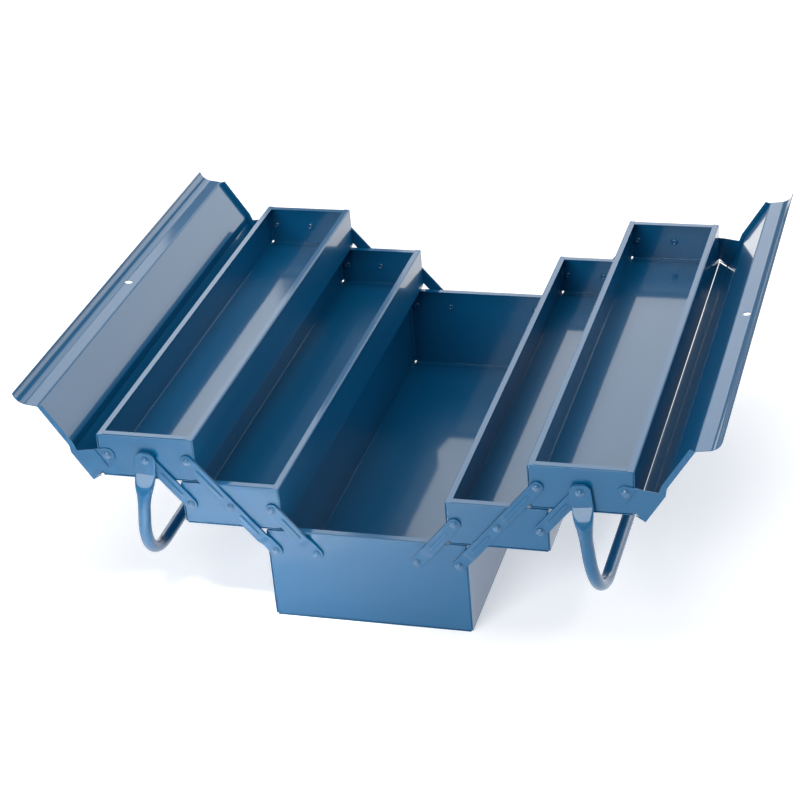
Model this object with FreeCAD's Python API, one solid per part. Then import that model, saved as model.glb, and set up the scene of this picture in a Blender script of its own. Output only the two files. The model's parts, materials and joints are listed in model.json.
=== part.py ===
"""Cantilever toolbox: a base, four swinging trays, two lids and two handles.

Frame: +X right, +Y back, +Z up, origin at the middle of the underside.
The box stands open. Every part of the right half is drawn once, and the
left half is its mirror image in the plane X = 0. All lengths are in mm.
"""
import FreeCAD, Part
import math
import os
from FreeCAD import Vector

# Sheet metal
SHEET = 0.8
BEND_RADIUS = 1.1  # of a fold, along the middle of the sheet
RIM = 6.5  # width of the rims folded inward along the long walls
END_FLANGE = 7.5  # width of the flanges folded inward round the end panels
CORNER_RELIEF = 2.0  # opening left where three folds meet
SEAM = 0.1  # gap between an end panel and the body that it is welded into

# Base and trays
BASE_WIDTH = 200.0
BASE_LENGTH = 526.0
BASE_HEIGHT = 98.5
TRAY_WIDTH = 99.5
TRAY_LENGTH = 530.0
TRAY_HEIGHT = 46.0
CENTRE_GAP = 0.4  # from the middle plane to a lower tray when it is closed

# Links, which swing the trays
RIVET_INSET = 8.5  # from a long wall to the nearest rivet
BASE_RIVET_DROP = 22.0  # from the rim of the base to its rivets
TRAY_RIVET_DROP = TRAY_HEIGHT / 2
LINK_STEP_X = 40.0  # from one pivot of an open link to the next
LINK_STEP_Z = 47.5
LINK_WIDTH = 12.7
LINK_THICKNESS = 2.0
JOGGLE_START = 12.0  # along a link from its rivet on the base
JOGGLE_END = 20.0
BEAD_WIDTH = 4.6
BEAD_HEIGHT = 0.8
BEAD_MARGIN = 14.0  # from a rivet to the end of the pressed bead
HANDLE_BEAD_MARGIN = 21.0  # the same, from the rivet that carries the handle

# Rivets
SHANK_RADIUS = 2.4
HOLE_RADIUS = 2.48  # in a part that turns on the rivet
HEAD_RADIUS = 4.2
HEAD_HEIGHT = 2.0
LID_HEAD_HEIGHT = 1.3
TAIL_RADIUS = 3.9
TAIL_HEIGHT = 1.8
SIDE_GAP = 0.3  # between two parts that slide past each other
HEAD_GAP = 0.2

# Lid, drawn closed and level, with the fold over its skirt at C
LID_OPEN = 123.0  # from level to open
C_OUTBOARD = 14.0  # C from the lid's rivet
C_UP = 30.3
SKIRT = 10.69
SKIRT_ANGLE = 90.0  # between the skirt and the panel
SKIRT_RELIEF = 4.0  # opening left between the skirt and each ear
STEP_START = 35.0  # the panel steps down along its whole length
STEP_RUN = 7.0
STEP_DEPTH = 3.4
STEP_RADIUS = 3.0  # of the two soft bends of the step
CREASE = 91.2  # from C to the foot of the lip
CREASE_RADIUS = 2.2
LIP_ANGLE = 50.0
LIP_SLANT = 22.3  # from the crease to the corner of the lip's curl
LIP_CURL = 10.4  # from that corner to the edge
LIP_RADIUS = 14.0
LIP_TURN = 70.0
LIP_CORNER = 2.0  # rounding of the lip's two corners
LOCK_HOLE_RADIUS = 4.0
LOCK_HOLE_UP = 10.0  # from the crease along the slant
LID_FLANGE = 5.5  # depth of the lid's end flanges
FLANGE_TAPER = 1.5  # cut off the flange's end, and taken off again beside the ear
EAR_RADIUS = 8.2  # round end of the ear, about its rivet
EAR_FLANK = -41.0  # direction from the rivet to where the ear's long edge meets the round end
EAR_PRESS = 6.3  # from the rivet to the line where the ear is pressed inward
EAR_LAP = 1.2
LEFT_LID_SHUT = 0.0  # angle that the closed lid keeps from level
RIGHT_LID_SHUT = 5.0  # its lip lies over the other one

# Handle
TUBE_RADIUS = 6.35
TUBE_WALL = 1.2
TUBE_CLEAR = 2.1  # between the round tube and the heads of the lid rivets
HANDLE_REACH = 121.0  # from the pivot to the middle of the bar
HANDLE_BEND = 55.0
HANDLE_HANG = -83.7  # direction of the right handle's legs in the open box
TAB_WIDTH = 20.4  # of the pressed flat end
TAB_TOP = 7.8  # from the pivot to the end of the handle
TAB_CORNER = 6.5
TAB_THICKNESS = 3.2
TAB_END = 15.0  # from the pivot to where the tube starts to swell
SWELL_END = 55.0
SWELL_SHARES = (0.0, 0.35, 0.7, 1.0)  # sections along the swell

# Values that follow
PITCH = TRAY_WIDTH / 2 - RIVET_INSET
LINK_LENGTH = math.hypot(LINK_STEP_X, LINK_STEP_Z)
LINK_LEAN = math.degrees(math.atan2(LINK_STEP_X, LINK_STEP_Z))
BASE_OUTER_X = BASE_WIDTH / 2 - RIVET_INSET
BASE_INNER_X = BASE_OUTER_X - PITCH
BASE_RIVET_Z = BASE_HEIGHT - BASE_RIVET_DROP
LOWER_X = BASE_OUTER_X + LINK_STEP_X  # middle of the lower tray
LOWER_RIVET_Z = BASE_RIVET_Z + LINK_STEP_Z
UPPER_X = LOWER_X + LINK_STEP_X + PITCH  # middle of the upper tray
UPPER_RIVET_Z = LOWER_RIVET_Z + LINK_STEP_Z
LID_PIVOT_X = UPPER_X + PITCH
TRAY_FACE = TRAY_LENGTH / 2
BASE_FACE = BASE_LENGTH / 2
LINK_INNER = TRAY_FACE + SIDE_GAP
LINK_OUTER = LINK_INNER + LINK_THICKNESS
TAB_INNER = TRAY_FACE + SIDE_GAP  # riveted tab of the lid's ear
EAR_INNER = TAB_INNER + SHEET  # the rest of the ear, one sheet further out
EAR_OUTER = EAR_INNER + SHEET
HANDLE_INNER = LINK_OUTER + SIDE_GAP
LID_HEAD_TOP = TAB_INNER + SHEET + HEAD_GAP + LID_HEAD_HEIGHT
TUBE_Y = LID_HEAD_TOP + TUBE_CLEAR + TUBE_RADIUS
CLOSED_STEP_X = BASE_OUTER_X - CENTRE_GAP - TRAY_WIDTH / 2
FOLD_ANGLE = LINK_LEAN + math.degrees(math.asin(CLOSED_STEP_X / LINK_LENGTH))

X_AXIS = Vector(1, 0, 0)
Y_AXIS = Vector(0, 1, 0)
Z_AXIS = Vector(0, 0, 1)
ORIGIN = Vector(0, 0, 0)


def at_xz(p):
    """A point (x, z) in the plane Y = 0."""
    return Vector(p[0], 0, p[1])


def at_xy(p):
    """A point (x, y) in the plane Z = 0."""
    return Vector(p[0], p[1], 0)


def at_yz(p):
    """A point (y, z) in the plane X = 0."""
    return Vector(0, p[0], p[1])


def mirror_x(shape):
    return shape.mirror(ORIGIN, X_AXIS)


def mirror_y(shape):
    return shape.mirror(ORIGIN, Y_AXIS)


def fuse(shapes):
    return shapes[0].multiFuse(shapes[1:]).removeSplitter()


def prism(points, place, travel):
    """A flat outline, given as 2D points, pushed along a vector."""
    corners = [place(p) for p in points]
    wire = Part.makePolygon(corners + corners[:1])
    return Part.Face(wire).extrude(travel)


def rod(radius, start, end):
    """A round bar between two points."""
    axis = end.sub(start)
    return Part.makeCylinder(radius, axis.Length, start, axis)


def sheet_side(points, radii, offset, place):
    """Edges along a folded path of 2D points, moved sideways by offset."""
    unit = []
    for a, b in zip(points, points[1:]):
        length = math.dist(a, b)
        unit.append(((b[0] - a[0]) / length, (b[1] - a[1]) / length))

    def moved(p, d):
        return place((p[0] - d[1] * offset, p[1] + d[0] * offset))

    edges = []
    start = moved(points[0], unit[0])
    for corner, radius, d, e in zip(points[1:-1], radii, unit, unit[1:]):
        turn = math.atan2(d[0] * e[1] - d[1] * e[0], d[0] * e[0] + d[1] * e[1])
        back = radius * math.tan(abs(turn) / 2)
        middle = (d[0] + e[0], d[1] + e[1])
        size = math.hypot(*middle)
        middle = (middle[0] / size, middle[1] / size)
        inward = (e[0] - d[0], e[1] - d[1])
        depth = math.hypot(*inward)
        sag = radius / math.cos(turn / 2) - radius
        arc_in = (corner[0] - d[0] * back, corner[1] - d[1] * back)
        arc_out = (corner[0] + e[0] * back, corner[1] + e[1] * back)
        arc_mid = (corner[0] + inward[0] / depth * sag, corner[1] + inward[1] / depth * sag)
        first, last = moved(arc_in, d), moved(arc_out, e)
        edges.append(Part.makeLine(start, first))
        edges.append(Part.Arc(first, moved(arc_mid, middle), last).toShape())
        start = last
    edges.append(Part.makeLine(start, moved(points[-1], unit[-1])))
    return edges


def folded_sheet(points, radii, place, travel, thickness=SHEET):
    """Sheet metal folded along a path of 2D points, pushed along a vector."""
    one = sheet_side(points, radii, thickness / 2, place)
    two = sheet_side(points, radii, -thickness / 2, place)
    caps = [
        Part.makeLine(one[0].Vertexes[0].Point, two[0].Vertexes[0].Point),
        Part.makeLine(one[-1].Vertexes[-1].Point, two[-1].Vertexes[-1].Point),
    ]
    wire = Part.Wire(Part.__sortEdges__(one + two + caps))
    return Part.Face(wire).extrude(travel)


def save(name, shape):
    """Write one node, after a look at each of its solids."""
    for solid in shape.Solids:
        if not solid.isValid() or solid.Volume <= 0:
            raise ValueError(name + " is not a sound solid")
    shape.exportStep("parts/" + name + ".step")
    box = shape.BoundBox
    print(f"{name}: {len(shape.Solids)} solids, {shape.Volume:.0f} mm3,"
          f" z {box.ZMin:.1f} to {box.ZMax:.1f}")


def save_pair(name, right_shape):
    """Write a part of the right half and its mirror image."""
    save("right_" + name, right_shape)
    save("left_" + name, mirror_x(right_shape))


# ---------------------------------------------------------------- pans

def pan_body(width, length, height):
    """Floor, long walls and rims, folded from one sheet, centred on X = 0."""
    side = width / 2 - SHEET / 2
    top = height - SHEET / 2
    low = SHEET / 2
    rim = width / 2 - RIM
    path = [(-rim, top), (-side, top), (-side, low), (side, low), (side, top), (rim, top)]
    body = folded_sheet(path, [BEND_RADIUS] * 4, at_xz, Y_AXIS * length)
    body.translate(Vector(0, -length / 2, 0))
    for sx in (-1, 1):
        for sy in (-1, 1):
            corner = Vector(sx * width / 2, sy * length / 2, 0)
            size = 2 * CORNER_RELIEF
            notch = Part.makeBox(size, size, size, corner - Vector(1, 1, 1) * CORNER_RELIEF)
            body = body.cut(notch)
    return body


def pan_end(width, length, height, rivets):
    """Front end panel with flanges along all four edges and rivet holes."""
    half = width / 2 - SHEET - SEAM
    face = length / 2
    plane = -face + SHEET / 2
    inner = -face + END_FLANGE
    rim = width / 2 - RIM - SEAM
    low = SHEET + SEAM
    under_rim = height - SHEET - SEAM
    middle = height / 2

    top_path = [(inner, height - SHEET / 2), (plane, height - SHEET / 2), (plane, middle)]
    top = folded_sheet(top_path, [BEND_RADIUS], at_yz, X_AXIS * (2 * rim))
    top.translate(X_AXIS * -rim)

    foot = half - CORNER_RELIEF
    foot_path = [(plane, middle), (plane, low + SHEET / 2), (inner, low + SHEET / 2)]
    bottom = folded_sheet(foot_path, [BEND_RADIUS], at_yz, X_AXIS * (2 * foot))
    bottom.translate(X_AXIS * -foot)

    edge = half - SHEET / 2
    side_path = [(-edge, inner), (-edge, plane), (edge, plane), (edge, inner)]
    tall = under_rim - low - CORNER_RELIEF
    sides = folded_sheet(side_path, [BEND_RADIUS] * 2, at_xy, Z_AXIS * tall)
    sides.translate(Z_AXIS * (low + CORNER_RELIEF))

    panel = fuse([sides, top, bottom])
    for x, z in rivets:
        panel = panel.cut(rod(SHANK_RADIUS, Vector(x, -face, z), Vector(x, -face + SHEET, z)))
    return panel


def save_pan(prefix, middle_x, bottom_z, width, length, height, rivets):
    """Write a body and its two end panels, and the same on the other side."""
    move = Vector(middle_x, 0, bottom_z)
    local = [(x - middle_x, z - bottom_z) for x, z in rivets]
    body = pan_body(width, length, height)
    front = pan_end(width, length, height, local)
    pieces = {"body": body, "front_panel": front, "back_panel": mirror_y(front)}
    for name, shape in pieces.items():
        shape.translate(move)
        keep = save_pair if middle_x else save
        keep(prefix + "_" + name, shape)


# -------------------------------------------------------------- rivets

def dome_arc(radius, height, foot, direction):
    """Half the outline of a shallow round head: from its rim at foot to its top."""
    ball = (radius ** 2 + height ** 2) / (2 * height)
    half_turn = math.asin(radius / ball) / 2
    crown = Vector(ball * math.sin(half_turn), ball * (math.cos(half_turn) - 1) + height, 0)
    points = [Vector(radius, 0, 0), crown, Vector(0, height, 0)]
    return Part.Arc(*[Vector(p.x, foot + direction * p.y, 0) for p in points]).toShape()


def rivet(x, z, panel_face, head_foot, head_height=HEAD_HEIGHT):
    """A front rivet: tail inside the panel, shank, and head at head_foot."""
    inside = -panel_face + SHEET
    outside = -head_foot
    rims = Part.makePolygon([Vector(TAIL_RADIUS, inside, 0), Vector(SHANK_RADIUS, inside, 0),
                             Vector(SHANK_RADIUS, outside, 0), Vector(HEAD_RADIUS, outside, 0)])
    axis = Part.makePolygon([Vector(0, outside - head_height, 0),
                             Vector(0, inside + TAIL_HEIGHT, 0)])
    edges = rims.Edges + axis.Edges
    edges += [dome_arc(TAIL_RADIUS, TAIL_HEIGHT, inside, 1),
              dome_arc(HEAD_RADIUS, head_height, outside, -1)]
    outline = Part.Wire(Part.__sortEdges__(edges))
    solid = Part.Face(outline).revolve(ORIGIN, Y_AXIS, 360)
    solid.translate(Vector(x, 0, z))
    return solid


def both_ends(rivets):
    """The front rivets and their mirror images at the back."""
    return Part.makeCompound(rivets + [mirror_y(r) for r in rivets])


# --------------------------------------------------------------- links

def link(start_x, start_z, steps, joggled, top_margin=BEAD_MARGIN):
    """A front link that leans outward from its lowest rivet.

    It is drawn upright, along +Z from the lowest rivet, and then turned.
    """
    half = LINK_WIDTH / 2
    length = steps * LINK_LENGTH
    flat = -(LINK_INNER + LINK_THICKNESS / 2)
    drop = TRAY_FACE - BASE_FACE
    if joggled:
        low = flat + drop
        path = [(low, -half), (low, JOGGLE_START), (flat, JOGGLE_END), (flat, length + half)]
        strip = folded_sheet(path, [LINK_THICKNESS * 2] * 2, at_yz, X_AXIS * LINK_WIDTH,
                             LINK_THICKNESS)
    else:
        path = [(flat, -half), (flat, length + half)]
        strip = folded_sheet(path, [], at_yz, X_AXIS * LINK_WIDTH, LINK_THICKNESS)
    strip.translate(X_AXIS * -half)
    deep = Y_AXIS * (2 * LINK_THICKNESS + drop)
    back = Vector(0, -LINK_OUTER - LINK_THICKNESS / 2, 0)
    outline = fuse([
        rod(half, back, back + deep),
        rod(half, back + Z_AXIS * length, back + Z_AXIS * length + deep),
        Part.makeBox(LINK_WIDTH, deep.y, length, back - X_AXIS * half),
    ])
    bar = strip.common(outline)
    for step in range(steps):
        foot_margin = JOGGLE_END + BEAD_WIDTH if joggled and step == 0 else BEAD_MARGIN
        bottom = step * LINK_LENGTH + foot_margin
        top = (step + 1) * LINK_LENGTH - top_margin
        bar = bar.fuse(bead(bottom, top))
    for step in range(steps + 1):
        middle = back + Z_AXIS * (step * LINK_LENGTH)
        bar = bar.cut(rod(HOLE_RADIUS, middle, middle + deep))
    bar.rotate(ORIGIN, Y_AXIS, LINK_LEAN)
    bar.translate(Vector(start_x, 0, start_z))
    return bar


def bead(bottom, top):
    """The ridge pressed along the middle of a link."""
    radius = BEAD_WIDTH / 2
    foot = Vector(0, -LINK_OUTER, 0)
    rise = Y_AXIS * -BEAD_HEIGHT
    ridge = fuse([
        rod(radius, foot + Z_AXIS * bottom, foot + Z_AXIS * bottom + rise),
        rod(radius, foot + Z_AXIS * top, foot + Z_AXIS * top + rise),
        Part.makeBox(BEAD_WIDTH, BEAD_HEIGHT, top - bottom,
                     Vector(-radius, -LINK_OUTER - BEAD_HEIGHT, bottom)),
    ])
    crest = [e for e in ridge.Edges if abs(e.BoundBox.YMax + LINK_OUTER + BEAD_HEIGHT) < 0.01]
    return ridge.makeFillet(BEAD_HEIGHT * 0.7, crest)


# ----------------------------------------------------------------- lid

def lid_path():
    """Outer face of the lid from skirt to lip: u from C inward, w up."""
    skirt = math.radians(SKIRT_ANGLE)
    slant = math.radians(LIP_ANGLE)
    curl = math.radians(LIP_ANGLE - LIP_TURN)
    low = -STEP_DEPTH
    bend = (CREASE + LIP_SLANT * math.cos(slant), low + LIP_SLANT * math.sin(slant))
    return [
        (SKIRT * math.cos(skirt), -SKIRT * math.sin(skirt)),
        (0, 0),
        (STEP_START, 0),
        (STEP_START + STEP_RUN, low),
        (CREASE, low),
        bend,
        (bend[0] + LIP_CURL * math.cos(curl), bend[1] + LIP_CURL * math.sin(curl)),
    ]


def to_lid(u, w):
    """Point of the closed, level right lid in the plane Y = 0."""
    return Vector(LID_PIVOT_X + C_OUTBOARD - u, 0, UPPER_RIVET_Z + C_UP + w)


def turned(centre, radius, angle):
    """The point at an angle in degrees on a circle round a 2D point."""
    turn = math.radians(angle)
    return (centre[0] + radius * math.cos(turn), centre[1] + radius * math.sin(turn))


def ear_plate(outline, inner_face):
    """A flat sheet of the front ear, one sheet thick from its inner face outward."""
    plate = prism(outline, lambda p: to_lid(*p), Y_AXIS * -SHEET)
    plate.translate(Y_AXIS * -inner_face)
    return plate


def lid_end():
    """Front end flange, widening to the ear, whose riveted end is pressed inward."""
    pivot = (C_OUTBOARD, -C_UP)
    low = -STEP_DEPTH
    step_end = STEP_START + STEP_RUN
    neck = (STEP_START - FLANGE_TAPER, -LID_FLANGE - FLANGE_TAPER)
    flank = turned(pivot, EAR_RADIUS, EAR_FLANK)
    edge = (pivot[0] - EAR_RADIUS, pivot[1])
    press = -C_UP + EAR_PRESS
    share = (press - neck[1]) / (flank[1] - neck[1])
    on_flank = (neck[0] + (flank[0] - neck[0]) * share, press)
    on_edge = (edge[0] * press / edge[1], press)
    outline = [(0, 0), (STEP_START, 0), (step_end, low), (CREASE, low),
               (CREASE - FLANGE_TAPER, low - LID_FLANGE), (step_end, low - LID_FLANGE),
               neck, on_flank, on_edge]
    lap = [(on_edge[0], press + EAR_LAP), (on_flank[0], press + EAR_LAP)]
    plate = ear_plate(outline, EAR_INNER)
    tab = ear_plate(lap + [on_flank, flank, edge, on_edge], TAB_INNER)
    hub = to_lid(*pivot)
    disc = rod(EAR_RADIUS, hub + Y_AXIS * -EAR_INNER, hub + Y_AXIS * -TAB_INNER)
    ear = fuse([plate, fuse([tab, disc])])
    return ear.cut(rod(HOLE_RADIUS, hub + Y_AXIS * -EAR_OUTER, hub))


def right_lid():
    """The whole lid, closed and level, then opened about its rivets."""
    path = lid_path()
    middle = offset_in(path, SHEET / 2)
    radii = [BEND_RADIUS, STEP_RADIUS, STEP_RADIUS, CREASE_RADIUS, LIP_RADIUS]
    sheet = folded_sheet(middle, radii, lambda p: to_lid(*p), Y_AXIS * (2 * EAR_OUTER))
    sheet.translate(Y_AXIS * -EAR_OUTER)
    for sy in (-1, 1):
        sheet = sheet.cut(skirt_relief(sy))
        sheet = sheet.cut(lip_corner(sy, path[-1][0]))
    slant = math.radians(LIP_ANGLE)
    foot = to_lid(*turned((CREASE, -STEP_DEPTH), LOCK_HOLE_UP, LIP_ANGLE))
    across = Vector(math.sin(slant), 0, math.cos(slant)) * LOCK_HOLE_RADIUS
    sheet = sheet.cut(rod(LOCK_HOLE_RADIUS, foot - across, foot + across))
    ear = lid_end()
    lid = fuse([sheet, ear, mirror_y(ear)])
    lid.rotate(Vector(LID_PIVOT_X, 0, UPPER_RIVET_Z), Y_AXIS, LID_OPEN)
    return lid


def offset_in(path, distance):
    """The path moved to the inner side of the sheet by distance."""
    moved = []
    last = len(path) - 1
    for i, p in enumerate(path):
        before = path[max(i - 1, 0)], path[max(i, 1)]
        after = path[min(i, last - 1)], path[min(i + 1, last)]
        normals = []
        for a, b in (before, after):
            length = math.dist(a, b)
            normals.append(((b[1] - a[1]) / length, -(b[0] - a[0]) / length))
        sx = normals[0][0] + normals[1][0]
        sy = normals[0][1] + normals[1][1]
        scale = distance * 2 / (sx ** 2 + sy ** 2)
        moved.append((p[0] + sx * scale, p[1] + sy * scale))
    return moved


def skirt_relief(sy):
    """Block that shortens the skirt beside an end flange."""
    far = to_lid(SKIRT, -SKIRT - SHEET)
    near = to_lid(-SHEET, -2 * SHEET)
    box = Part.makeBox(near.x - far.x, SKIRT_RELIEF, near.z - far.z, far)
    box.translate(Y_AXIS * (EAR_INNER - SKIRT_RELIEF if sy > 0 else -EAR_INNER))
    return box


def lip_corner(sy, tip):
    """Block that rounds off a corner of the lip."""
    edge = to_lid(tip, -LIP_CORNER)
    deep = Z_AXIS * (LIP_SLANT + 2 * LIP_CORNER)
    square = Part.makeBox(LIP_CORNER, LIP_CORNER, deep.z, edge)
    square.translate(Y_AXIS * (EAR_OUTER - LIP_CORNER if sy > 0 else -EAR_OUTER))
    middle = edge + X_AXIS * LIP_CORNER + Y_AXIS * (sy * (EAR_OUTER - LIP_CORNER))
    return square.cut(rod(LIP_CORNER, middle, middle + deep))


# -------------------------------------------------------------- handle

def right_handle():
    """Bent tube with flat ends, drawn along +X from the pivot, then hung."""
    wide = TAB_WIDTH / 2
    outer_y = HANDLE_INNER + TAB_THICKNESS
    tab = Part.makeBox(TAB_TOP + TAB_END, TAB_THICKNESS, TAB_WIDTH, Vector(-TAB_TOP, -outer_y, -wide))
    corners = [e for e in tab.Edges
               if e.BoundBox.XMax < 0 and e.BoundBox.ZLength < SHEET and e.BoundBox.YLength > SHEET]
    tab = tab.makeFillet(TAB_CORNER, corners)
    half = fuse([tab, swell(), tube_half(TUBE_RADIUS)])
    half = half.cut(tube_half(TUBE_RADIUS - TUBE_WALL))
    half = half.cut(rod(HOLE_RADIUS, Y_AXIS * -outer_y, Y_AXIS * -HANDLE_INNER))
    handle = fuse([half, mirror_y(half)])
    handle.rotate(ORIGIN, Y_AXIS, -HANDLE_HANG)
    handle.translate(Vector(UPPER_X, 0, UPPER_RIVET_Z))
    return handle


def swell():
    """Where the flat end opens out into the round tube."""
    sections = []
    for share in SWELL_SHARES:
        ease = share * share * (3 - 2 * share)
        wide = TAB_WIDTH / 2 + (TUBE_RADIUS - TAB_WIDTH / 2) * share
        thick = TAB_THICKNESS / 2 + (TUBE_RADIUS - TAB_THICKNESS / 2) * ease
        inner_y = -HANDLE_INNER + (HANDLE_INNER - TUBE_Y + TUBE_RADIUS) * share
        oval = Part.Wire(Part.Ellipse(ORIGIN, wide, thick).toShape())
        oval.rotate(ORIGIN, Y_AXIS, 90)
        oval.translate(Vector(TAB_END + (SWELL_END - TAB_END) * share, inner_y - thick, 0))
        sections.append(oval)
    return Part.makeLoft(sections, True)


def tube_half(radius):
    """Front leg, bend and half of the bar as one round rod."""
    corner = HANDLE_REACH - HANDLE_BEND
    bend_y = -TUBE_Y + HANDLE_BEND
    start = Vector(SWELL_END, -TUBE_Y, 0)
    on_bend = HANDLE_BEND * math.sqrt(0.5)
    spine = Part.Wire([
        Part.makeLine(start, Vector(corner, -TUBE_Y, 0)),
        Part.Arc(Vector(corner, -TUBE_Y, 0), Vector(corner + on_bend, bend_y - on_bend, 0),
                 Vector(HANDLE_REACH, bend_y, 0)).toShape(),
        Part.makeLine(Vector(HANDLE_REACH, bend_y, 0), Vector(HANDLE_REACH, 0, 0)),
    ])
    ring = Part.Wire(Part.makeCircle(radius, start, X_AXIS))
    return spine.makePipeShell([ring], True, False)


# ------------------------------------------------------------ assembly

def main():
    os.makedirs("parts", exist_ok=True)

    base_rivets = [(s * x, BASE_RIVET_Z) for s in (-1, 1) for x in (BASE_INNER_X, BASE_OUTER_X)]
    lower_rivets = [(LOWER_X + s * PITCH, LOWER_RIVET_Z) for s in (-1, 0, 1)]
    upper_rivets = [(UPPER_X + s * PITCH, UPPER_RIVET_Z) for s in (-1, 0, 1)]

    save_pan("base", 0, 0, BASE_WIDTH, BASE_LENGTH, BASE_HEIGHT, base_rivets)
    save_pan("lower_tray", LOWER_X, LOWER_RIVET_Z - TRAY_HEIGHT + TRAY_RIVET_DROP,
             TRAY_WIDTH, TRAY_LENGTH, TRAY_HEIGHT, lower_rivets)
    save_pan("upper_tray", UPPER_X, UPPER_RIVET_Z - TRAY_HEIGHT + TRAY_RIVET_DROP,
             TRAY_WIDTH, TRAY_LENGTH, TRAY_HEIGHT, upper_rivets)

    base_head = BASE_FACE + SIDE_GAP + LINK_THICKNESS + HEAD_GAP
    link_head = LINK_OUTER + HEAD_GAP
    handle_head = HANDLE_INNER + TAB_THICKNESS + HEAD_GAP
    lid_head = TAB_INNER + SHEET + HEAD_GAP
    save("base_rivets", both_ends([rivet(x, z, BASE_FACE, base_head) for x, z in base_rivets]))
    save_pair("lower_tray_rivets",
              both_ends([rivet(x, z, TRAY_FACE, link_head) for x, z in lower_rivets]))
    inner, middle, outer = upper_rivets
    save_pair("upper_tray_rivets", both_ends([rivet(*inner, TRAY_FACE, link_head)]))
    save_pair("handle_rivets", both_ends([rivet(*middle, TRAY_FACE, handle_head)]))
    save_pair("lid_rivets", both_ends([rivet(*outer, TRAY_FACE, lid_head, LID_HEAD_HEIGHT)]))

    links = {
        "long_link": link(BASE_OUTER_X, BASE_RIVET_Z, 2, True),
        "lower_short_link": link(BASE_INNER_X, BASE_RIVET_Z, 1, True),
        "upper_short_link": link(LOWER_X + PITCH, LOWER_RIVET_Z, 1, False, HANDLE_BEAD_MARGIN),
    }
    for name, shape in links.items():
        save_pair("front_" + name, shape)
        save_pair("back_" + name, mirror_y(shape))

    save_pair("lid", right_lid())
    save_pair("handle", right_handle())

    lift = math.degrees(math.acos((TUBE_RADIUS + SIDE_GAP - UPPER_X + fold_shift()) / HANDLE_REACH))
    print("fold angle", round(FOLD_ANGLE, 3))
    print("lid travel, left and right", LID_OPEN - LEFT_LID_SHUT, LID_OPEN - RIGHT_LID_SHUT)
    print("handle travel", round(lift - HANDLE_HANG, 3), "of which by the links", round(FOLD_ANGLE, 3))


def fold_shift():
    """How far an upper tray moves inward when the box closes."""
    return 2 * (LINK_STEP_X + CLOSED_STEP_X)


main()
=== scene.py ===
"""Looks for the cantilever toolbox: enamel materials, detailed pieces, stage, light and camera.

Lengths are in metres. A piece is drawn for the front right corner of the box and mirrored to the
other corners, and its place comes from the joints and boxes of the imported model.
"""
import bmesh
import bpy
import json
import math
from mathutils import Matrix, Vector


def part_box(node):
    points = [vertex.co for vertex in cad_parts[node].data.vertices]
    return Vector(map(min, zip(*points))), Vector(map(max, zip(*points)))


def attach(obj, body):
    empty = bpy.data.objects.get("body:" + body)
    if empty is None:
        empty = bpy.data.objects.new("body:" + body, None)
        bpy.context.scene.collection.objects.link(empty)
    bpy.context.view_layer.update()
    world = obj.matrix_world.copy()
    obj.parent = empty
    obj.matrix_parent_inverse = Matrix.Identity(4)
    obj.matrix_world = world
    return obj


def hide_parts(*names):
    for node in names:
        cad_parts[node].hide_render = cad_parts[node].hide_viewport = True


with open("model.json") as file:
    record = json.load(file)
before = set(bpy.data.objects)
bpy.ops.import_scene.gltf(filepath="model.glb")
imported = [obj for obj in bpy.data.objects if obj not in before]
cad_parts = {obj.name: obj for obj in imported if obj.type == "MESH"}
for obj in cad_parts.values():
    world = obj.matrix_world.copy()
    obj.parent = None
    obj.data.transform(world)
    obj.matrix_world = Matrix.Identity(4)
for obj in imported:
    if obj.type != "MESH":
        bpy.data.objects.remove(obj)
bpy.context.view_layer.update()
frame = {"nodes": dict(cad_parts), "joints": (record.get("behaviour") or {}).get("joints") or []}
NODES = frame["nodes"]
JOINTS = {joint["name"]: Vector(joint["pos_m"]) for joint in frame["joints"]}

MM = 0.001
SHEET = 0.8 * MM
CLEARANCE = 0.3 * MM
LINK_THICKNESS = 2.0 * MM
WELD = 2e-6  # points nearer than this are one point
SLIVER = 1e-7  # edges shorter than this are removed
SHARP_ANGLE = 32.0
SIDES = {"right": 1, "left": -1}
ENDS = {"front": 1, "back": -1}

# Pivots of the right side, in the XZ plane
BASE_OUTER = JOINTS["right_fold"]
BASE_INNER = JOINTS["right_lower_links_turn"]
LOWER_MIDDLE = JOINTS["right_lower_tray_level"]
UPPER_INNER = JOINTS["right_upper_tray_level"]
UPPER_MIDDLE = JOINTS["right_upper_links_turn"]
UPPER_OUTER = JOINTS["right_lid_hinge"]
PITCH = Vector((BASE_OUTER.x - BASE_INNER.x, 0, 0))
LOWER_INNER = LOWER_MIDDLE - PITCH
LOWER_OUTER = LOWER_MIDDLE + PITCH

# Faces of the pans' front ends, as distances from the middle plane Y = 0
BASE_FACE = -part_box("base_front_panel")[0].y
TRAY_FACE = -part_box("right_upper_tray_front_panel")[0].y
LINK_INNER = TRAY_FACE + CLEARANCE
LINK_OUTER = LINK_INNER + LINK_THICKNESS


# ------------------------------------------------------------ mesh helpers

def quads(rows, columns, closed=False):
    """Faces of a grid of points stored row by row; closed joins the last column to the first."""
    faces = []
    for row in range(rows - 1):
        for column in range(columns if closed else columns - 1):
            a = row * columns + column
            b = row * columns + (column + 1) % columns
            faces.append((a, b, b + columns, a + columns))
    return faces


def ease(share):
    """0 to 1 with a soft start and a soft end."""
    share = min(max(share, 0.0), 1.0)
    return share * share * (3 - 2 * share)


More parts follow.
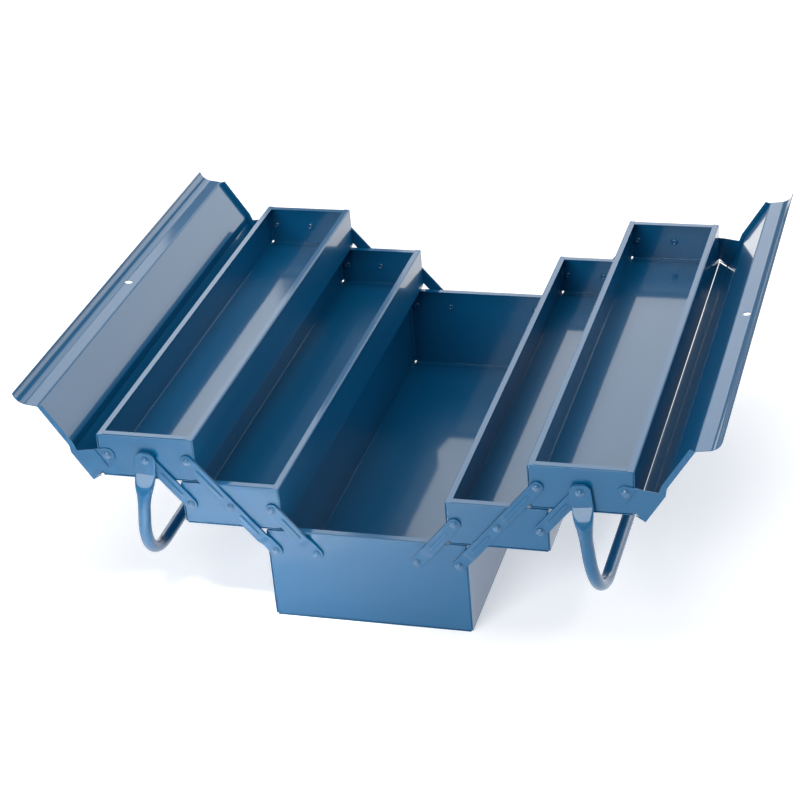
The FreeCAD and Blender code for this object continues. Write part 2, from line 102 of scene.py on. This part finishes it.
def shape_of(points, faces):
    """A cleaned bmesh with its faces turned outward."""
    shape = bmesh.new()
    corners = [shape.verts.new(p) for p in points]
    for face in faces:
        ring = list(dict.fromkeys(face))
        if len(ring) > 2:
            shape.faces.new([corners[i] for i in ring])
    bmesh.ops.remove_doubles(shape, verts=shape.verts, dist=WELD)
    bmesh.ops.dissolve_degenerate(shape, edges=shape.edges, dist=SLIVER)
    bmesh.ops.recalc_face_normals(shape, faces=shape.faces)
    return shape


def mirrored(shape, side, end):
    """The mesh of a front right shape at another corner of the box."""
    mesh = bpy.data.meshes.new("piece")
    copy = shape.copy()
    bmesh.ops.scale(copy, vec=(side, end, 1), verts=copy.verts)
    if side * end < 0:
        bmesh.ops.reverse_faces(copy, faces=copy.faces)
    copy.to_mesh(mesh)
    copy.free()
    return mesh


def add_piece(name, mesh, material, body, nodes, sharp=SHARP_ANGLE):
    """Put a mesh into the scene, riding on a body in place of CAD nodes."""
    mesh.shade_smooth()
    mesh.set_sharp_from_angle(angle=math.radians(sharp))
    mesh.materials.append(material)
    piece = bpy.data.objects.new(name, mesh)
    bpy.context.scene.collection.objects.link(piece)
    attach(piece, body)
    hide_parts(*nodes)


def joined(shapes):
    """Several bmeshes as one."""
    whole = bmesh.new()
    for shape in shapes:
        part = bpy.data.meshes.new("part")
        shape.to_mesh(part)
        whole.from_mesh(part)
        bpy.data.meshes.remove(part)
    return whole


# ------------------------------------------------------------------- links

LINK_HALF = 6.35 * MM
BEAD_HALF = 2.3 * MM
BEAD_RISE = 0.8 * MM
BEAD_FLANK = 1.2 * MM
BEAD_MARGIN = 14.0 * MM
HANDLE_BEAD_MARGIN = 21.0 * MM
JOGGLE = (12.0 * MM, 20.0 * MM)
EDGE_ROUND = 0.45 * MM
ROW_STEP = 1.2 * MM
END_TURN = 6  # degrees between rows round a link's end
LINK_COLUMNS = (-1, -0.98, -0.95, -0.9, -0.7, -0.5, -0.36, -0.3, -0.22, -0.1,
                0, 0.1, 0.22, 0.3, 0.36, 0.5, 0.7, 0.9, 0.95, 0.98, 1)


def link_rows(length):
    """Places along a link for rows of points, close together at its round ends."""
    turns = [math.radians(a) for a in range(90, -1, -END_TURN)]
    rows = [-LINK_HALF * math.sin(a) for a in turns]
    count = max(int(length / ROW_STEP), 2)
    rows += [length * (i + 1) / count for i in range(count)]
    rows += [length + LINK_HALF * math.sin(a) for a in reversed(turns[:-1])]
    return rows


def round_drop(depth, radius):
    """How far a rounded edge lies below its face, at a depth in from the outline."""
    if depth >= radius:
        return 0.0
    return radius - math.sqrt(max(radius ** 2 - (radius - depth) ** 2, 0.0))


def bead_rise(along, across, bottom, top):
    """Height of the pressed ridge: a flat crest with soft flanks and soft ends."""
    side = ease((BEAD_HALF - abs(across)) / BEAD_FLANK)
    start = ease((along - bottom + BEAD_HALF) / (2 * BEAD_FLANK))
    finish = ease((top + BEAD_HALF - along) / (2 * BEAD_FLANK))
    return BEAD_RISE * side * start * finish


def link_shape(pivots, joggled, top_margin):
    """A front link through two or three pivots, lowest first."""
    span = pivots[1] - pivots[0]
    step = span.length
    direction = span.normalized()
    sideways = Vector((direction.z, 0, -direction.x))
    length = step * (len(pivots) - 1)
    drop = TRAY_FACE - BASE_FACE if joggled else 0.0
    beads = []
    for i in range(len(pivots) - 1):
        foot = JOGGLE[1] + 2 * BEAD_HALF if joggled and i == 0 else BEAD_MARGIN
        beads.append((i * step + foot, (i + 1) * step - top_margin))
    points = []
    rows = link_rows(length)
    for along in rows:
        beyond = max(-along, along - length, 0.0)
        half = math.sqrt(max(LINK_HALF ** 2 - beyond ** 2, 0.0))
        inward = drop * (1 - ease((along - JOGGLE[0]) / (JOGGLE[1] - JOGGLE[0])))
        middle = pivots[0] + direction * along
        for share in LINK_COLUMNS:
            across = half * share
            depth = LINK_HALF - math.hypot(beyond, across)
            rise = max(bead_rise(along, across, *bead) for bead in beads)
            out = LINK_OUTER - inward + rise - round_drop(depth, EDGE_ROUND)
            points.append(middle + sideways * across + Vector((0, -out, 0)))
        for share in (1, -1):
            place = middle + sideways * (half * share)
            points.append(place + Vector((0, inward - LINK_INNER, 0)))
    return shape_of(points, quads(len(rows), len(LINK_COLUMNS) + 2, closed=True))


def add_links(material):
    """Twelve links: one shape of each kind, mirrored to the four corners."""
    kinds = (
        ("long_link", (BASE_OUTER, LOWER_MIDDLE, UPPER_INNER), True, BEAD_MARGIN, "long_links"),
        ("lower_short_link", (BASE_INNER, LOWER_INNER), True, BEAD_MARGIN, "lower_links"),
        ("upper_short_link", (LOWER_OUTER, UPPER_MIDDLE), False, HANDLE_BEAD_MARGIN, "upper_links"),
    )
    for kind, pivots, joggled, margin, body in kinds:
        shape = link_shape(pivots, joggled, margin)
        for side, sx in SIDES.items():
            for end, sy in ENDS.items():
                node = side + "_" + end + "_" + kind
                mesh = mirrored(shape, sx, sy)
                add_piece(node + "_pressed", mesh, material, side + "_" + body, [node])


# ------------------------------------------------------------------ rivets

# Profiles of a rivet as (radius, height) over its foot, in mm
HEAD = [(0, 2.0), (0.7, 1.97), (1.4, 1.86), (2.1, 1.64), (2.7, 1.3), (3.05, 0.98), (3.2, 0.8),
        (3.35, 0.72), (3.6, 0.7), (3.95, 0.62), (4.15, 0.42), (4.2, 0.2), (4.12, 0.0)]
LID_HEAD_SCALE = 0.65
TAIL = [(0, 0.75), (0.5, 0.8), (1.0, 1.0), (1.4, 1.4), (1.8, 1.72), (2.3, 1.8), (2.9, 1.68),
        (3.4, 1.3), (3.75, 0.75), (3.88, 0.3), (3.85, 0.0)]
SHANK = 2.4
RIVET_SIDES = 40
HEAD_GAP = 0.2 * MM  # between a head's foot and what it holds


def turned_shape(profile):
    """A solid of revolution about Y from (radius, y) points in metres."""
    points = []
    for radius, y in profile:
        for i in range(RIVET_SIDES):
            angle = 2 * math.pi * i / RIVET_SIDES
            points.append(Vector((radius * math.cos(angle), y, radius * math.sin(angle))))
    return shape_of(points, quads(len(profile), RIVET_SIDES, closed=True))


def rivet_shape(pivot, face, head_foot, scale=1.0):
    """One front rivet: rolled tail inside the panel, shank and domed head outside."""
    inside = -face + SHEET
    profile = [(r * MM, inside + h * MM) for r, h in TAIL]
    profile += [(SHANK * MM, inside), (SHANK * MM, -head_foot)]
    profile += [(r * MM, -head_foot - h * scale * MM) for r, h in reversed(HEAD)]
    shape = turned_shape(profile)
    bmesh.ops.translate(shape, vec=(pivot.x, 0, pivot.z), verts=shape.verts)
    return shape


def doubled(shape, side, end):
    """A bmesh together with its mirror image."""
    other = bmesh.new()
    other.from_mesh(mirrored(shape, side, end))
    return joined([shape, other])


def add_rivets(material):
    """Rivet sets: one piece for the base and four for each side."""
    base_head = BASE_FACE + LINK_OUTER - TRAY_FACE + HEAD_GAP
    link_head = LINK_OUTER + HEAD_GAP
    lid_head = LINK_INNER + SHEET + HEAD_GAP
    handle_head = HANDLE_INNER + TAB_THICKNESS + HEAD_GAP
    corner = joined([rivet_shape(p, BASE_FACE, base_head) for p in (BASE_INNER, BASE_OUTER)])
    whole = doubled(doubled(corner, 1, -1), -1, 1)
    add_piece("base_rivets_set", mirrored(whole, 1, 1), material,
              "base", ["base_rivets"])
    sets = (
        ("lower_tray_rivets", "lower_tray", (LOWER_INNER, LOWER_MIDDLE, LOWER_OUTER), link_head, 1.0),
        ("upper_tray_rivets", "upper_tray", (UPPER_INNER,), link_head, 1.0),
        ("handle_rivets", "upper_tray", (UPPER_MIDDLE,), handle_head, 1.0),
        ("lid_rivets", "upper_tray", (UPPER_OUTER,), lid_head, LID_HEAD_SCALE),
    )
    for node, body, pivots, foot, scale in sets:
        front = joined([rivet_shape(p, TRAY_FACE, foot, scale) for p in pivots])
        whole = doubled(front, 1, -1)
        for side, sx in SIDES.items():
            add_piece(side + "_" + node + "_set", mirrored(whole, sx, 1), material,
                      side + "_" + body, [side + "_" + node])


# ------------------------------------------------------------------ handle

TUBE_RADIUS = 6.35 * MM
HANDLE_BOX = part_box("right_handle")
TUBE_Y = -HANDLE_BOX[0].y - TUBE_RADIUS
HANDLE_INNER = LINK_OUTER + CLEARANCE
HANDLE_REACH = 121.0 * MM
HANDLE_BEND = 55.0 * MM
HANDLE_HANG = math.radians(-83.7)
TAB_HALF = 10.2 * MM
TAB_TOP = 7.8 * MM
TAB_CORNER = 6.5 * MM
TAB_THICKNESS = 3.2 * MM
PRESS_LINE = 15.5 * MM  # where the flat end stops and the tube rises
RISE_END = 50.0 * MM
FACET_SLOPE = 0.62
HANDLE_SHARP_ANGLE = 24.0
RING_POINTS = 72
TAB_POWER = 9.0  # squareness of the flat end's section, as a superellipse
TUBE_POWER = 2.0
POWER_FADE = 1.7
STRAIGHT_END = HANDLE_REACH - HANDLE_BEND
BEND_END = STRAIGHT_END + HANDLE_BEND * math.pi / 2


def steps(start, end, count):
    """Evenly spaced places after start, up to end."""
    return [start + (end - start) * (i + 1) / count for i in range(count)]


def handle_stations():
    """Distances along the centreline from the pivot to the middle of the bar."""
    stations = [-TAB_TOP + TAB_CORNER * (1 - math.cos(math.radians(a))) for a in range(0, 91, 6)]
    stations += [0.0] + steps(0.0, PRESS_LINE, 8) + steps(PRESS_LINE, RISE_END, 60)
    stations += steps(RISE_END, STRAIGHT_END, 6) + steps(STRAIGHT_END, BEND_END, 45)
    return stations + steps(BEND_END, BEND_END + TUBE_Y - HANDLE_BEND, 12)


def handle_ring(station):
    """One ring of the handle: a flat end with round corners, then an oval, then a circle."""
    rise = min(max((station - PRESS_LINE) / (RISE_END - PRESS_LINE), 0.0), 1.0)
    opened = 1 - (1 - rise) ** 2
    half = TAB_HALF + (TUBE_RADIUS - TAB_HALF) * ease(rise)
    corner = -TAB_TOP + TAB_CORNER - station
    if corner > 0:
        half -= TAB_CORNER - math.sqrt(max(TAB_CORNER ** 2 - corner ** 2, 0.0))
    thick = TAB_THICKNESS + (2 * TUBE_RADIUS - TAB_THICKNESS) * opened
    inner = HANDLE_INNER + (TUBE_Y - TUBE_RADIUS - HANDLE_INNER) * rise
    ceiling = TAB_THICKNESS + max(station - PRESS_LINE, 0.0) * FACET_SLOPE
    power = 2 / (TAB_POWER + (TUBE_POWER - TAB_POWER) * min(rise * POWER_FADE, 1.0))
    bend = min(max((station - STRAIGHT_END) / HANDLE_BEND, 0.0), math.pi / 2)
    along = min(station, STRAIGHT_END) + HANDLE_BEND * math.sin(bend)
    inward = HANDLE_BEND * (1 - math.cos(bend)) + max(station - BEND_END, 0.0)
    ring = []
    for i in range(RING_POINTS):
        angle = 2 * math.pi * i / RING_POINTS
        c, s = math.cos(angle), math.sin(angle)
        across = half * math.copysign(abs(c) ** power, c)
        out = thick / 2 * (1 + math.copysign(abs(s) ** power, s))
        out = inner + min(out, ceiling) - TUBE_Y
        place = along + out * math.sin(bend)
        ring.append(Vector((place, inward - TUBE_Y - out * math.cos(bend), across)))
    return ring


def handle_shape():
    """The right handle, hanging at rest: its front half and the mirror image of it."""
    front = [handle_ring(s) for s in handle_stations()]
    rings = front + [[Vector((p.x, -p.y, p.z)) for p in ring] for ring in reversed(front[:-1])]
    points = [p for ring in rings for p in ring]
    faces = quads(len(rings), RING_POINTS, closed=True)
    last = len(points) - RING_POINTS
    faces += [tuple(range(RING_POINTS)), tuple(range(last, len(points)))]
    shape = shape_of(points, faces)
    bmesh.ops.rotate(shape, matrix=Matrix.Rotation(-HANDLE_HANG, 3, "Y"), verts=shape.verts)
    bmesh.ops.translate(shape, vec=(UPPER_MIDDLE.x, 0, UPPER_MIDDLE.z), verts=shape.verts)
    return shape


def add_handles(material):
    """Both handles: the right one and its mirror image."""
    shape = handle_shape()
    for side, sx in SIDES.items():
        add_piece(side + "_handle_tube", mirrored(shape, sx, 1), material, side + "_handle_body",
                  [side + "_handle"], sharp=HANDLE_SHARP_ANGLE)


# --------------------------------------------------------------- materials

WHITE = (1.0, 1.0, 1.0, 1.0)
ENAMEL = (0.0008, 0.105, 0.250, 1.0)
ENAMEL_THIN = (0.0008, 0.092, 0.222, 1.0)
ENAMEL_ROUGHNESS = (0.28, 0.42)
ENAMEL_FINISH = {"Specular IOR Level": 0.2, "Coat Weight": 1.0, "Coat Roughness": 0.07}
PATCHES_PER_METRE = 11.0  # patches of thicker film
PEEL_PER_METRE = 1400.0
PEEL_HEIGHT = 0.1 * MM
SWELLS_PER_METRE = 9.0  # slow waves in the sheet
SWELL_HEIGHT = 2.0 * MM
SHEET_SWELL = 0.12  # strength on the wide folded sheets
COAT_IOR = 1.4
RIVET_COAT_IOR = 1.7
FLOOR_FINISH = {"Base Color": (0.88, 0.88, 0.88, 1.0), "Roughness": 0.9,
                "Specular IOR Level": 0.1, "Emission Color": WHITE, "Emission Strength": 0.46}


def set_inputs(node, values):
    for key, value in values.items():
        node.inputs[key].default_value = value


def new_material(name, finish):
    """A material, with plain values on its shader's own sockets."""
    material = bpy.data.materials.new(name)
    material.use_nodes = True
    shader = material.node_tree.nodes["Principled BSDF"]
    set_inputs(shader, finish)
    return material, shader


def noise(tree, place, scale, detail, roughness):
    node = tree.nodes.new("ShaderNodeTexNoise")
    set_inputs(node, {"Scale": scale, "Detail": detail, "Roughness": roughness})
    tree.links.new(place, node.inputs["Vector"])
    return node.outputs["Fac"]


def bumps(tree, height, strength, distance):
    node = tree.nodes.new("ShaderNodeBump")
    set_inputs(node, {"Strength": strength, "Distance": distance})
    tree.links.new(height, node.inputs["Height"])
    return node


def enamel(name, peel=0.06, swell=0.0, coat_ior=COAT_IOR):
    """Glossy stoved enamel: uneven film, orange peel and, on wide sheets, a slow swell."""
    material, shader = new_material(name, ENAMEL_FINISH | {"Coat IOR": coat_ior})
    tree = material.node_tree
    join = tree.links.new
    place = tree.nodes.new("ShaderNodeTexCoord").outputs["Object"]
    film = noise(tree, place, PATCHES_PER_METRE, 4.0, 0.6)
    tone = tree.nodes.new("ShaderNodeMix")
    tone.data_type = "RGBA"
    set_inputs(tone, {"A": ENAMEL_THIN, "B": ENAMEL})
    join(film, tone.inputs["Factor"])
    join(tone.outputs["Result"], shader.inputs["Base Color"])
    haze = tree.nodes.new("ShaderNodeMapRange")
    set_inputs(haze, {"To Min": ENAMEL_ROUGHNESS[0], "To Max": ENAMEL_ROUGHNESS[1]})
    join(film, haze.inputs["Value"])
    join(haze.outputs["Result"], shader.inputs["Roughness"])
    skin = bumps(tree, noise(tree, place, PEEL_PER_METRE, 1.0, 0.4), peel, PEEL_HEIGHT)
    if swell:
        waves = noise(tree, place, SWELLS_PER_METRE, 1.0, 0.3)
        sheet = bumps(tree, waves, swell, SWELL_HEIGHT)
        join(sheet.outputs["Normal"], skin.inputs["Normal"])
    join(skin.outputs["Normal"], shader.inputs["Normal"])
    join(skin.outputs["Normal"], shader.inputs["Coat Normal"])
    return material


def dress(material, names):
    """Give CAD nodes a material."""
    for name in names:
        mesh = NODES[name].data
        mesh.materials.clear()
        mesh.materials.append(material)


# --------------------------------------------------------- camera and stage

CAMERA_PLACE = Vector((0.59025, -1.94497, 1.23167))
CAMERA_RIGHT = Vector((0.96120, 0.26423, -0.07922))
CAMERA_UP = Vector((-0.06205, 0.48696, 0.87122))
CAMERA_LENS = 99.4
FLOOR_REACH = 8.0

WORLD_STRENGTH = 0.12
# Place, aim, size and brightness of the face
TOP_BOX = ((0, 0.1, 1.6), (0, 0.1, 0), (1.4, 1.4), 1.7)
# A narrow lamp on the floor before the base, which the front faces mirror
FLOOR_LAMP = ((-0.16, -0.62, 0.9), (-0.16, -0.47, 0), (0.15, 0.15), 16.0)
FLOOR_LAMP_SPREAD = math.radians(28)
MIDDLE = Vector((0.0, 0.0, 0.15))
# Softboxes aimed at the middle: name, azimuth, elevation, distance, size, brightness of the face
SOFTBOXES = (
    ("back_left", -5, 35, 3.0, (1.3, 1.8), 2.1),
    ("far_left", -46, 25, 3.0, (2.2, 1.6), 2.4),
    ("back_low", 34, 12, 3.0, (2.2, 1.1), 2.6),
    ("front", 194, 24, 2.8, (1.6, 1.3), 7.0),
    ("right", 100, 40, 2.4, (1.3, 1.0), 3.0),
)


def make_camera():
    back = CAMERA_RIGHT.cross(CAMERA_UP).normalized()
    right = CAMERA_UP.cross(back).normalized()
    turn = Matrix((right, back.cross(right), back)).transposed()
    data = bpy.data.cameras.new("camera")
    data.lens = CAMERA_LENS
    data.dof.use_dof = False
    camera = bpy.data.objects.new("camera", data)
    camera.matrix_world = Matrix.Translation(CAMERA_PLACE) @ turn.to_4x4()
    bpy.context.scene.collection.objects.link(camera)
    bpy.context.scene.camera = camera


def make_floor():
    mesh = bpy.data.meshes.new("floor")
    corners = [(x * FLOOR_REACH, y * FLOOR_REACH, 0) for x, y in ((-1, -1), (1, -1), (1, 1), (-1, 1))]
    mesh.from_pydata(corners, [], [(0, 1, 2, 3)])
    floor = bpy.data.objects.new("floor", mesh)
    bpy.context.scene.collection.objects.link(floor)
    mesh.materials.append(new_material("pale_floor", FLOOR_FINISH)[0])


def soft_light(name, place, target, size, radiance, spread=math.pi):
    """A rectangular softbox, given by how bright its face looks."""
    data = bpy.data.lights.new(name, "AREA")
    data.shape = "RECTANGLE"
    data.size, data.size_y = size
    data.energy = radiance * math.pi * size[0] * size[1]
    data.spread = spread
    light = bpy.data.objects.new(name, data)
    light.location = place
    light.rotation_mode = "QUATERNION"
    light.rotation_quaternion = (Vector(target) - Vector(place)).to_track_quat("-Z", "Y")
    bpy.context.scene.collection.objects.link(light)


def around(azimuth, elevation, distance):
    """A place round the box; azimuth 0 is behind it and 90 on its right."""
    a, e = math.radians(azimuth), math.radians(elevation)
    flat = distance * math.cos(e)
    return MIDDLE + Vector((flat * math.sin(a), flat * math.cos(a), distance * math.sin(e)))


def make_light():
    world = bpy.data.worlds.new("studio")
    world.use_nodes = True
    set_inputs(world.node_tree.nodes["Background"], {"Color": WHITE, "Strength": WORLD_STRENGTH})
    bpy.context.scene.world = world
    bpy.context.scene.view_settings.view_transform = "Standard"
    soft_light("top", *TOP_BOX)
    for name, azimuth, elevation, distance, size, radiance in SOFTBOXES:
        soft_light(name, around(azimuth, elevation, distance), MIDDLE, size, radiance)
    soft_light("near_floor", *FLOOR_LAMP, FLOOR_LAMP_SPREAD)


make_camera()
pans = [name for name in NODES if name.endswith(("body", "panel"))]
dress(enamel("pan_enamel", swell=SHEET_SWELL), pans)
dress(enamel("lid_enamel", swell=SHEET_SWELL), ["left_lid", "right_lid"])
add_links(enamel("link_enamel", peel=0.1))
add_rivets(enamel("rivet_enamel", peel=0.05, coat_ior=RIVET_COAT_IOR))
add_handles(enamel("handle_enamel", peel=0.08))
make_floor()
make_light()
